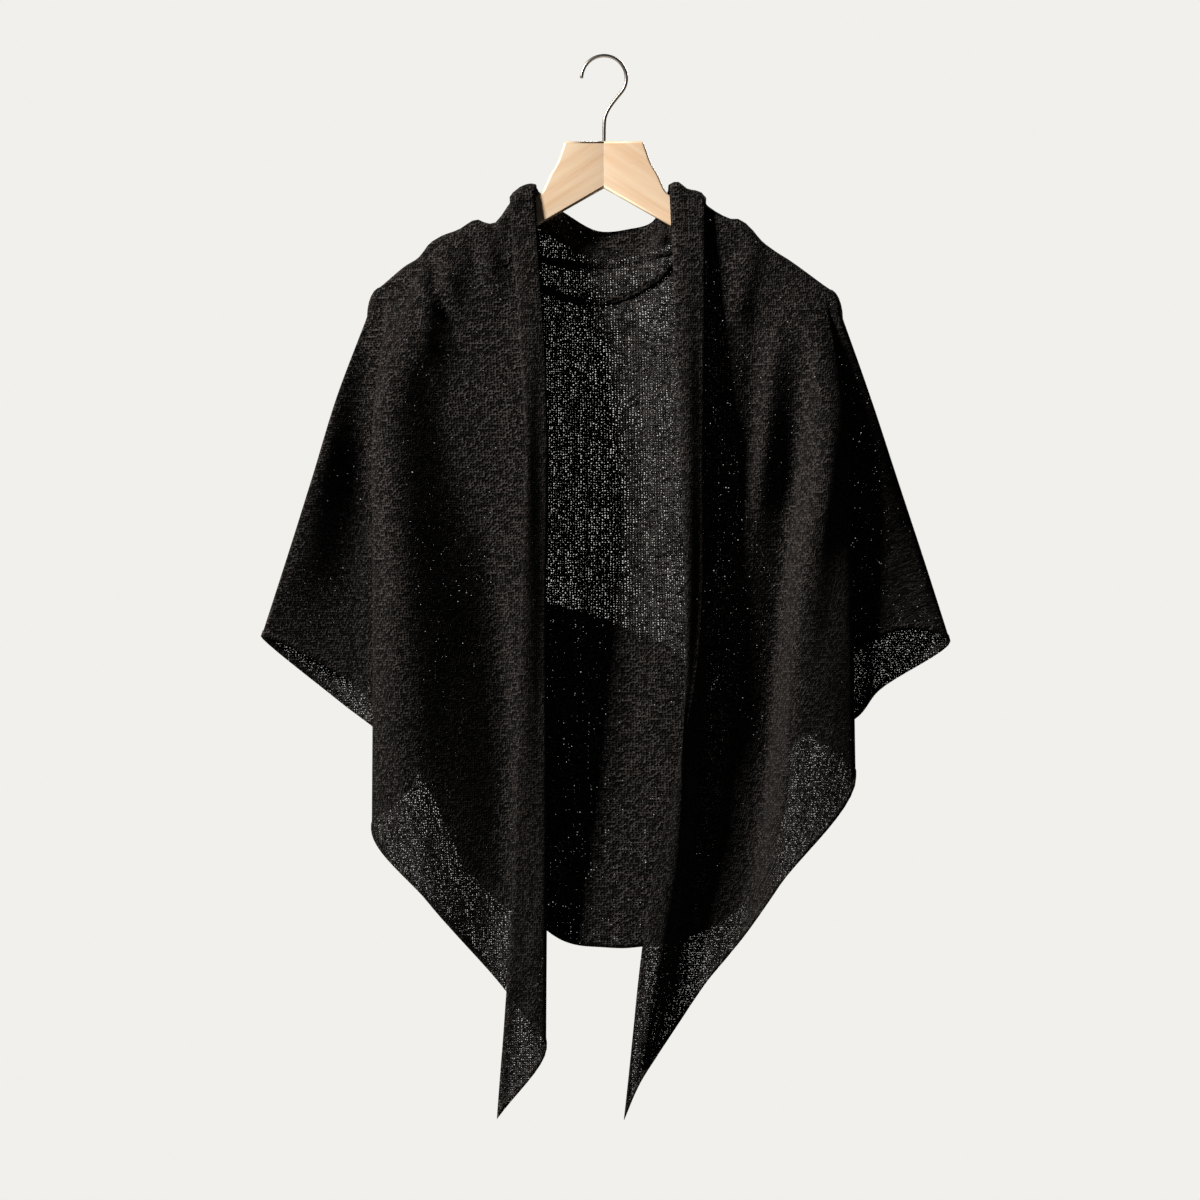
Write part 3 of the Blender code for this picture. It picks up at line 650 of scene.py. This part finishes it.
# %% Band and corner
BAND_WIDTH = 27.0
BAND_NOSE = 2.6
BAND_SWELL = 3.0
BAND_BACK_SWELL = 1.2
BAND_NOSE_ROWS = 4
BAND_LIFT_ROWS = 3.5
NECK_TURN = 0.22
CORNER_RADIUS = 4.0
CORNER_ROWS = 20
CORNER_LEAST = 8.0
CORNER_BULGE = 3.0
CORNER_EDGE = (
    (-168, 800), (-146, 740), (-135, 650), (-104, 535), (-59, 547), (-5, 562), (50, 588), (86, 616),
    (136, 665), (188, 757),
)
STRIP = LEFT_FRONT[0][1]
neck_first, neck_last = column(left_back, "neck side"), column(right_back, "neck side")
edge = grid[0, neck_first:neck_last + 1]


def neck_band():
    """Rows of the strip from its free edge up to the fold, for each column of the neck edge."""
    along = np.gradient(edge, axis=0)
    along /= np.linalg.norm(along, axis=1, keepdims=True)
    count = len(edge)
    left_top = grid[0, :STRIP + 1][::-1]
    right_top = grid[0, grid.shape[1] - 1 - STRIP:]
    rows = []
    for s in range(STRIP, -1, -1):
        share = s / STRIP
        row = []
        for i in range(count):
            turn = float(smooth_step(min(i, count - 1 - i) / (count - 1) / NECK_TURN))
            on_left = i < count / 2
            profile = LEFT_SHOULDER if on_left else RIGHT_SHOULDER
            drop = profile_depth(profile, profile[0][0] + BAND_WIDTH) - profile[0][1]
            aside = drop * (1 - turn) * (-1 if on_left else 1)
            outward = np.array((aside, BAND_WIDTH * turn, BAND_WIDTH * (1 - turn)))
            outward -= along[i] * float(np.dot(outward, along[i]))
            outward /= np.linalg.norm(outward)
            away = np.cross(along[i], outward)
            nose = BAND_NOSE * math.sin(math.pi / 2 * min(1.0, share * BAND_NOSE_ROWS))
            lift = 2 * BAND_NOSE * float(smooth_step(share * BAND_LIFT_ROWS))
            lift += BAND_SWELL * (1 - turn) * math.sin(math.pi * share)
            lift += BAND_BACK_SWELL * turn * math.sin(math.pi * share)
            place = edge[i] + outward * lift + away * (nose * (1 - share) - BAND_WIDTH * share)
            end = (left_top if on_left else right_top)[s]
            row.append(end * (1 - turn) + place * turn)
        rows.append(row)
    return np.array(rows)


def turned_corner(first, last):
    """Rows of the third corner, from the bottom fold up to its free edge."""
    low = grid[-1, first:last + 1]
    behind, down = np.array((0.0, 1.0, 0.0)), np.array((0.0, 0.0, -1.0))
    rows = []
    for angle in range(0, 181, 30):
        bend = math.radians(angle)
        rows.append(low + CORNER_RADIUS * (down * math.sin(bend) + behind * (1 - math.cos(bend))))
    for step in range(1, CORNER_ROWS + 1):
        row = []
        for c in range(first, last + 1):
            bottom = grid[-1, c]
            top = -np.interp(bottom[0], [p[0] for p in CORNER_EDGE], [p[1] for p in CORNER_EDGE])
            top = max(top, bottom[2] + CORNER_LEAST)
            share = step / (CORNER_ROWS - 1)
            level = bottom[2] + (top - HEM_WIDTH - bottom[2]) * share if step < CORNER_ROWS else top
            heights = grid[::-1, c, 2]
            x = np.interp(level, heights, grid[::-1, c, 0])
            y = np.interp(level, heights, grid[::-1, c, 1])
            uneven = noise.noise(Vector((x / 60, 3.1, level / 110)))
            bulge = CORNER_BULGE * math.sin(math.pi * min(1.0, share)) * uneven
            row.append((x, y + 2 * CORNER_RADIUS + bulge, level))
        rows.append(row)
    return np.array([np.array(row) for row in rows])


corner_first, corner_last = column(left_back, "outer hollow"), column(right_back, "outer hollow")
band_grid = neck_band()
corner_grid = turned_corner(corner_first, corner_last)
print("band", band_grid.shape[:2], "corner", corner_grid.shape[:2])

# %% [markdown]
# ## Cloth measured in millimetres
#
# The knit has to keep its real stitch size wherever the cloth goes, so the sheet gets its own
# map in metres of cloth. Across, it is measured along each row from a line that hangs straight:
# the inner fold on each front, the middle of the back. Down, it follows the depth. The maps meet
# at the side folds, where the knit turns away anyway.

# %% Measure the cloth
def across_from(points, reference):
    """Distance across the cloth from one column, row by row."""
    legs = np.linalg.norm(np.diff(points, axis=1), axis=2)
    total = np.concatenate((np.zeros((len(points), 1)), np.cumsum(legs, axis=1)), axis=1)
    return total - total[:, reference:reference + 1]


def down_the_cloth(points, roll_rows):
    """Depth below the origin, and the length of the roll above that."""
    down = -points[:, :, 2].copy()
    length = along_columns(points)
    down[:roll_rows] = down[roll_rows] - (length[roll_rows] - length[:roll_rows])
    return down


left_fold, right_fold = column(left_front, "wing fold"), column(right_front, "wing fold")
middle = column(neck, "middle neck")
across_maps = [across_from(grid, c) for c in
               (column(left_front, "inner fold"), middle, column(right_front, "inner fold"))]
down_map = down_the_cloth(grid, len(ROLL_ANGLES))
print("the left front hem measures", round(float(-across_maps[0][-1, left_fold])), "mm to its side fold")

# %% Join the grids into one mesh
JOIN_WITHIN = 0.03
shape = bmesh.new()
stitches = shape.loops.layers.uv.new("cloth metres")
weights = shape.verts.layers.deform.verify()


def add_grid(points, across_of, down, hem):
    """Adds a grid of points as faces, with its map and its hem weights."""
    verts = [[shape.verts.new(p * MM) for p in row] for row in points]
    for r, row in enumerate(verts):
        for c, vert in enumerate(row):
            vert[weights][0] = float(hem[r, c])
    for r in range(len(verts) - 1):
        for c in range(len(verts[0]) - 1):
            corners = ((r, c), (r + 1, c), (r + 1, c + 1), (r, c + 1))
            face = shape.faces.new([verts[a][b] for a, b in corners])
            face.smooth = True
            across = across_of(c)
            for loop, (a, b) in zip(face.loops, corners):
                loop[stitches].uv = (across[a, b] * MM, -down[a, b] * MM)


hem = np.zeros(grid.shape[:2])
hem[-2:, :] = 1.0
hem[-3:, corner_first:corner_last + 1] = 0.0
hem[:, (0, 1, -2, -1)] = 1.0
add_grid(grid, lambda c: across_maps[0 if c < left_fold else 1 if c < right_fold else 2], down_map, hem)

band_hem = np.zeros(band_grid.shape[:2])
band_hem[:2] = 1.0
band_across = across_from(band_grid, middle - neck_first)
band_down = np.repeat(down_map[0, neck_first:neck_last + 1][None], len(band_grid), axis=0)
band_down = band_down - BAND_WIDTH * np.linspace(1.0, 0.0, len(band_grid))[:, None]
add_grid(band_grid, lambda c: band_across, band_down, band_hem)

corner_hem = np.zeros(corner_grid.shape[:2])
corner_hem[-2:] = 1.0
corner_across = across_from(corner_grid, middle - corner_first)
corner_down = down_map[-1, corner_first:corner_last + 1][None] + along_columns(corner_grid)
add_grid(corner_grid, lambda c: corner_across, corner_down, corner_hem)

bmesh.ops.remove_doubles(shape, verts=shape.verts[:], dist=JOIN_WITHIN * MM)
open_edges = sum(1 for e in shape.edges if e.is_boundary)
torn = sum(1 for e in shape.edges if not e.is_manifold and not e.is_boundary)
cloth_area = sum(face.calc_area() for face in shape.faces)
cloth_mesh = bpy.data.meshes.new("scarf cloth")
shape.to_mesh(cloth_mesh)
shape.free()
print("cloth area", round(cloth_area, 3), "m2, faces", len(cloth_mesh.polygons))
print("edges at the rim", open_edges, "torn", torn)

# %% Give the cloth its thickness
# The hem is rolled, so it keeps the full thickness, and the knit between is a fifth of it.
CLOTH_THICK = 2.0
KNIT_SHARE = 0.2
CLOTH_NODES = ("left_front", "left_wing", "back", "right_wing", "right_front", "back_neck_band",
               "turned_up_corner")
cloth = bpy.data.objects.new("scarf_cloth", cloth_mesh)
scene.collection.objects.link(cloth)
cloth.vertex_groups.new(name="hem")
body = cloth.modifiers.new("thickness of the knit", "SOLIDIFY")
body.thickness = CLOTH_THICK * MM
body.offset = 0.0
body.vertex_group = "hem"
body.thickness_vertex_group = KNIT_SHARE
body.use_rim = True
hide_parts(*CLOTH_NODES)
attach(cloth, "root")
print("knit", round(CLOTH_THICK * KNIT_SHARE, 1), "mm, hem", CLOTH_THICK, "mm")

# %% [markdown]
# ## Fine black knit
#
# The scarf is a fine single knit of black yarn, a net of loops with a small gap between them.
# Where one layer hangs against the light, these gaps sparkle, and where two layers lie together
# it is plain black. Real holes in the mesh would take millions of faces, so the knit is a
# pattern on the cloth's own map: a net of slightly uneven cells, one a stitch. The middle of a
# cell is open, and its rim is yarn that stands up. Some stitches are looser, in streaks down
# the cloth. The yarn is matt, with a soft fuzz that catches a little light at the edges, which
# is what sheen is for.

# %% Knit material
# The real loops are about 2 mm apart, too fine to show from 6 m, so they are drawn larger.
WALE = 2.9
COURSE = 2.3
GAP_LEAST = 0.02
GAP_MOST = 0.225
GAP_SOFT = 0.02
GAP_LEAN = 1.3
GAP_RAGGED = 0.16
STITCH_SHADE = 1.6
YARN_HEIGHT = 0.0018
# Patterns to a metre of cloth: the stitches wander every 18 mm, by up to 1.6 mm, the looser
# streaks are 7 mm wide and 55 mm long, and the fuzz on the yarn is about 1 mm.
WANDER_SCALE = 55.0
WANDER_BY = (0.0016, 0.0010, 0.0)
STREAK_SCALE = (150.0, 18.0, 1.0)
FUZZ_SCALE = 900.0


def knit_material():
    """Matt black yarn with open gaps between its stitches."""
    made, tree, shader = new_material("fine black knit")
    made.displacement_method = "BUMP"
    shader.inputs["Roughness"].default_value = 0.95
    shader.inputs["Specular IOR Level"].default_value = 0.04
    shader.inputs["Sheen Weight"].default_value = 0.04
    shader.inputs["Sheen Roughness"].default_value = 0.6
    shader.inputs["Sheen Tint"].default_value = colour("#C8C0BC")
    place = add(tree, "ShaderNodeUVMap", uv_map="cloth metres").outputs["UV"]
    wander = add(tree, "ShaderNodeTexNoise", {"Vector": place, "Scale": WANDER_SCALE, "Detail": 1.0},
                 noise_dimensions="2D")
    moved_by = add(tree, "ShaderNodeVectorMath", {0: wander.outputs["Color"], 1: WANDER_BY},
                   operation="MULTIPLY").outputs[0]
    pulled = add(tree, "ShaderNodeVectorMath", {0: place, 1: moved_by}, operation="ADD").outputs[0]
    to_stitches = (1 / (WALE * MM), 1 / (COURSE * MM), 1.0)
    net = add(tree, "ShaderNodeMapping", {"Vector": pulled, "Scale": to_stitches}).outputs[0]
    cell = add(tree, "ShaderNodeTexVoronoi", {"Vector": net, "Scale": 1.0, "Randomness": 0.6},
               voronoi_dimensions="2D", feature="F1")
    loop = cell.outputs["Distance"]
    chance = add(tree, "ShaderNodeSeparateColor", {"Color": cell.outputs["Color"]}).outputs[0]
    chance = add(tree, "ShaderNodeMath", {0: chance, 1: GAP_LEAN}, operation="POWER").outputs[0]
    long_way = add(tree, "ShaderNodeMapping", {"Vector": place, "Scale": STREAK_SCALE}).outputs[0]
    streak = add(tree, "ShaderNodeTexNoise", {"Vector": long_way, "Scale": 1.0, "Detail": 1.0},
                 noise_dimensions="2D")
    streak = add(tree, "ShaderNodeMapRange", {"Value": streak.outputs["Fac"], "From Min": 0.3,
                 "From Max": 0.7, "To Min": 0.45, "To Max": 1.15}).outputs[0]
    chance = add(tree, "ShaderNodeMath", {0: chance, 1: streak}, operation="MULTIPLY").outputs[0]
    radius = add(tree, "ShaderNodeMapRange", {"Value": chance, "To Min": GAP_LEAST,
                 "To Max": GAP_MOST}).outputs[0]
    fuzz = add(tree, "ShaderNodeTexNoise", {"Vector": place, "Scale": FUZZ_SCALE, "Detail": 2.0},
               noise_dimensions="2D")
    uneven = add(tree, "ShaderNodeMath", {0: fuzz.outputs["Fac"], 1: GAP_RAGGED, 2: -GAP_RAGGED / 2},
                 operation="MULTIPLY_ADD")
    ragged = add(tree, "ShaderNodeMath", {0: loop, 1: uneven.outputs[0]}, operation="ADD").outputs[0]
    rim = add(tree, "ShaderNodeMath", {0: ragged, 1: radius}, operation="SUBTRACT").outputs[0]
    covered = add(tree, "ShaderNodeMapRange", {"Value": rim, "From Min": -GAP_SOFT, "From Max": GAP_SOFT})
    tree.links.new(covered.outputs[0], shader.inputs["Alpha"])
    # The same ramp is the height of the loops and their colour: it darkens towards each gap, a painted
    # shade in the pits between the loops.
    yarn = add(tree, "ShaderNodeMapRange", {"Value": ragged, "From Min": 0.1,
               "From Max": 0.55}).outputs[0]
    twist = add(tree, "ShaderNodeSeparateColor", {"Color": cell.outputs["Color"]}).outputs[1]
    twist = add(tree, "ShaderNodeMath", {0: twist, 1: STITCH_SHADE}, operation="POWER").outputs[0]
    pit_shade_and_stitch_tone = add(tree, "ShaderNodeMath", {0: yarn, 1: twist}, operation="MULTIPLY").outputs[0]
    # The base colour runs from near black, the painted pit shade, to the yarn's dark grey, scaled by a
    # random tone for each stitch.
    shade = add(tree, "ShaderNodeMix", {"Factor": pit_shade_and_stitch_tone, 6: colour("#040404"), 7: colour("#4B4645")},
                data_type="RGBA")
    tree.links.new(shade.outputs[2], shader.inputs["Base Color"])
    bump = add(tree, "ShaderNodeBump", {"Height": yarn, "Strength": 1.0, "Distance": YARN_HEIGHT})
    tree.links.new(bump.outputs[0], shader.inputs["Normal"])
    return made


cloth.data.materials.append(knit_material())
print("stitch", WALE, "by", COURSE, "mm")

# %% [markdown]
# ## Beech
#
# The hanger is beech, sawn, sanded and clear lacquered. That gives the eye a pale, slightly pink
# wood with the grain along each arm, faint growth rings, short dark flecks and a satin gloss. A
# picture of wood would repeat at every size, so rings and flecks are noise, stretched along the
# grain. The grain leans with the arm, and the lacquer is a thin soft coat.

# %% Beech material
# Sizes in millimetres along, across and through the grain, and the lean of each arm
GRAIN = (250.0, 20.0, 11.0)
FLECK = (12.0, 1.2, 1.1)
ARM_LEAN = math.radians(33)


def beech_material(name, lean):
    """Lacquered beech with its grain along the arm."""
    made, tree, shader = new_material(name)
    place = add(tree, "ShaderNodeTexCoord").outputs["Object"]
    turned = add(tree, "ShaderNodeMapping", {"Vector": place, "Rotation": (0.0, lean, 0.0),
                 "Scale": tuple(size * MM for size in GRAIN)}, vector_type="TEXTURE")
    rings = add(tree, "ShaderNodeTexNoise", {"Vector": turned.outputs[0], "Scale": 1.6, "Detail": 3.0})
    tint = add(tree, "ShaderNodeValToRGB", {"Fac": rings.outputs["Fac"]})
    tint.color_ramp.elements[0].position, tint.color_ramp.elements[1].position = 0.32, 0.7
    tint.color_ramp.elements[0].color = colour("#E6C3A0")
    tint.color_ramp.elements[1].color = colour("#F3DABD")
    flecks = add(tree, "ShaderNodeMapping", {"Vector": place, "Rotation": (0.0, lean, 0.0),
                 "Scale": tuple(size * MM for size in FLECK)}, vector_type="TEXTURE")
    pores = add(tree, "ShaderNodeTexNoise", {"Vector": flecks.outputs[0], "Scale": 1.0, "Detail": 2.0})
    mark = add(tree, "ShaderNodeMapRange", {"Value": pores.outputs["Fac"], "From Min": 0.60,
               "From Max": 0.72, "To Min": 0.0, "To Max": 0.16}).outputs[0]
    shade = add(tree, "ShaderNodeMix", {"Factor": mark, 6: tint.outputs["Color"], 7: colour("#B58A62")},
                data_type="RGBA")
    tree.links.new(shade.outputs[2], shader.inputs["Base Color"])
    shader.inputs["Roughness"].default_value = 0.42
    shader.inputs["Coat Weight"].default_value = 0.25
    shader.inputs["Coat Roughness"].default_value = 0.3
    bump = add(tree, "ShaderNodeBump", {"Height": rings.outputs["Fac"], "Strength": 0.12,
               "Distance": 0.0004})
    tree.links.new(bump.outputs[0], shader.inputs["Normal"])
    return made


beech = {-1: beech_material("satin beech, left half", -ARM_LEAN),
         1: beech_material("satin beech, right half", ARM_LEAN)}
print("grain", GRAIN[1], "mm wide, flecks", FLECK[0], "mm long")

# %% [markdown]
# ## Two wooden arms
#
# The hanger is two halves of a flat board, glued in the middle, with softly rounded edges. A
# board is an outline with a thickness, so each half is its outline from a smooth curve, pushed
# through by 12 mm, with a bevel that leaves the glued joint sharp. The outline is that of the
# plain solids, with more points on its curves.

# %% Wooden arms
ARM_THICK = 12.0
ARM_ROUND = 2.4
ARM_TOP = (
    (39.5, 84.5), (43, 95), (47.5, 107), (54, 118), (58, 127), (62, 135), (68, 140), (80, 146),
    (96, 160), (112, 174), (140, 187), (176, 206), (200, 219), (213, 231),
)
ARM_TIP = ((217, 236), (214, 243))
ARM_BELOW = ((180, 226), (120, 199), (66, 169))
ARM_CENTRE = (84.5, 131.5)
JOINT = 0.3
CURVE_STEPS = 4
CORNER_ANGLE = math.radians(20)


def arm(side, name):
    """One half of the hanger: its outline from smooth curves, thickened, with rounded edges."""
    top = centripetal([np.array(p, float) for p in ARM_TOP], [CURVE_STEPS] * (len(ARM_TOP) - 1))
    outline = [(JOINT / 2, ARM_CENTRE[0]), *top, *ARM_TIP, *ARM_BELOW, (JOINT / 2, ARM_CENTRE[1])]
    solid = bmesh.new()
    sharp = solid.edges.layers.float.new("bevel_weight_edge")
    face = solid.faces.new([solid.verts.new((side * x * MM, -ARM_THICK / 2 * MM, -z * MM))
                            for x, z in outline])
    pulled = bmesh.ops.extrude_face_region(solid, geom=[face])
    moved = [item for item in pulled["geom"] if isinstance(item, bmesh.types.BMVert)]
    bmesh.ops.translate(solid, verts=moved, vec=(0.0, ARM_THICK * MM, 0.0))
    bmesh.ops.recalc_face_normals(solid, faces=solid.faces[:])
    for edge in solid.edges:
        at_joint = all(abs(vert.co.x) < JOINT * MM for vert in edge.verts)
        edge[sharp] = 1.0 if edge.calc_face_angle() > CORNER_ANGLE and not at_joint else 0.0
    mesh = bpy.data.meshes.new(name)
    solid.to_mesh(mesh)
    solid.free()
    mesh.materials.append(beech[side])
    piece = bpy.data.objects.new(name, mesh)
    scene.collection.objects.link(piece)
    rounding = piece.modifiers.new("rounded edges", "BEVEL")
    rounding.width = ARM_ROUND * MM
    rounding.segments = 4
    rounding.limit_method = "WEIGHT"
    for polygon in mesh.polygons:
        polygon.use_smooth = True
    piece.modifiers.new("even shading", "WEIGHTED_NORMAL")
    return piece


left_arm = arm(-1, "left_wooden_arm")
right_arm = arm(1, "right_wooden_arm")
print("arms reach", ARM_TIP[0][0], "mm to each side")

# %% [markdown]
# ## Bent steel wire
#
# The hook is drawn steel wire, bent cold and rounded at its tip. Drawing leaves a satin surface
# with fine scratches, so the reflection is soft. A curve with a round section makes the plainest
# wire, because the bend stays a row of points. Steel is a metal: its colour lies in its
# reflection, and its IOR stays as it comes.

# %% Wire hook
HOOK_WIRE = 3.5
HOOK_RADIUS = 22.5
HOOK_TIP_ANGLE = 177.0
HOOK_BACK_ANGLE = -38.0
HOOK_NECK = ((9.0, -45.5), (4.0, -53.0), (1.0, -60.5), (0.2, -69.0))
HOOK_STEPS = 48
STEM_STEPS = 6
TIP_ANGLES = (86, 65, 45, 25)


def wire_hook():
    """The bent wire, from its rounded tip over the bend down into the wood."""
    centre = HOOK_WIRE / 2 - HOOK_RADIUS
    bend = np.radians(np.linspace(HOOK_TIP_ANGLE, HOOK_BACK_ANGLE, HOOK_STEPS + 1))
    points = list(np.stack((HOOK_RADIUS * np.cos(bend), centre + HOOK_RADIUS * np.sin(bend)), axis=1))
    stem = [points[-1], *(np.array(p) for p in HOOK_NECK), np.array((0.0, -ARM_CENTRE[0] + JOINT))]
    points += list(centripetal(stem, [STEM_STEPS] * (len(stem) - 1))[1:])
    tip = points[0] - points[1]
    tip /= np.linalg.norm(tip)
    caps = [(points[0] + tip * HOOK_WIRE / 2 * math.sin(a), math.cos(a)) for a in np.radians(TIP_ANGLES)]
    path = bpy.data.curves.new("hook wire", "CURVE")
    path.dimensions = "3D"
    path.bevel_depth = HOOK_WIRE / 2 * MM
    path.bevel_resolution = 6
    path.use_fill_caps = True
    spline = path.splines.new("POLY")
    samples = caps + [(p, 1.0) for p in points]
    spline.points.add(len(samples) - 1)
    for target, ((x, z), radius) in zip(spline.points, samples):
        target.co = (x * MM, 0.0, z * MM, 1.0)
        target.radius = radius
    spline.use_smooth = True
    piece = bpy.data.objects.new("hook_wire", path)
    scene.collection.objects.link(piece)
    return piece


def steel_material():
    """Drawn steel with a satin surface."""
    made, tree, shader = new_material("satin steel wire")
    shader.inputs["Base Color"].default_value = colour("#A39C94")
    shader.inputs["Metallic"].default_value = 1.0
    shader.inputs["Roughness"].default_value = 0.34
    place = add(tree, "ShaderNodeTexCoord").outputs["Object"]
    drawn = add(tree, "ShaderNodeTexNoise", {"Vector": place, "Scale": 700.0, "Detail": 2.0})
    bump = add(tree, "ShaderNodeBump", {"Height": drawn.outputs["Fac"], "Strength": 0.08,
               "Distance": 0.0002})
    tree.links.new(bump.outputs[0], shader.inputs["Normal"])
    return made


hook = wire_hook()
hook.data.materials.append(steel_material())
for piece, node, finish in ((left_arm, "hanger_left_arm", "beech"),
                            (right_arm, "hanger_right_arm", "beech"), (hook, "hook", "wire")):
    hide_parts(node)
    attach(piece, "root")
print("hanger pieces:", left_arm.name, right_arm.name, hook.name)
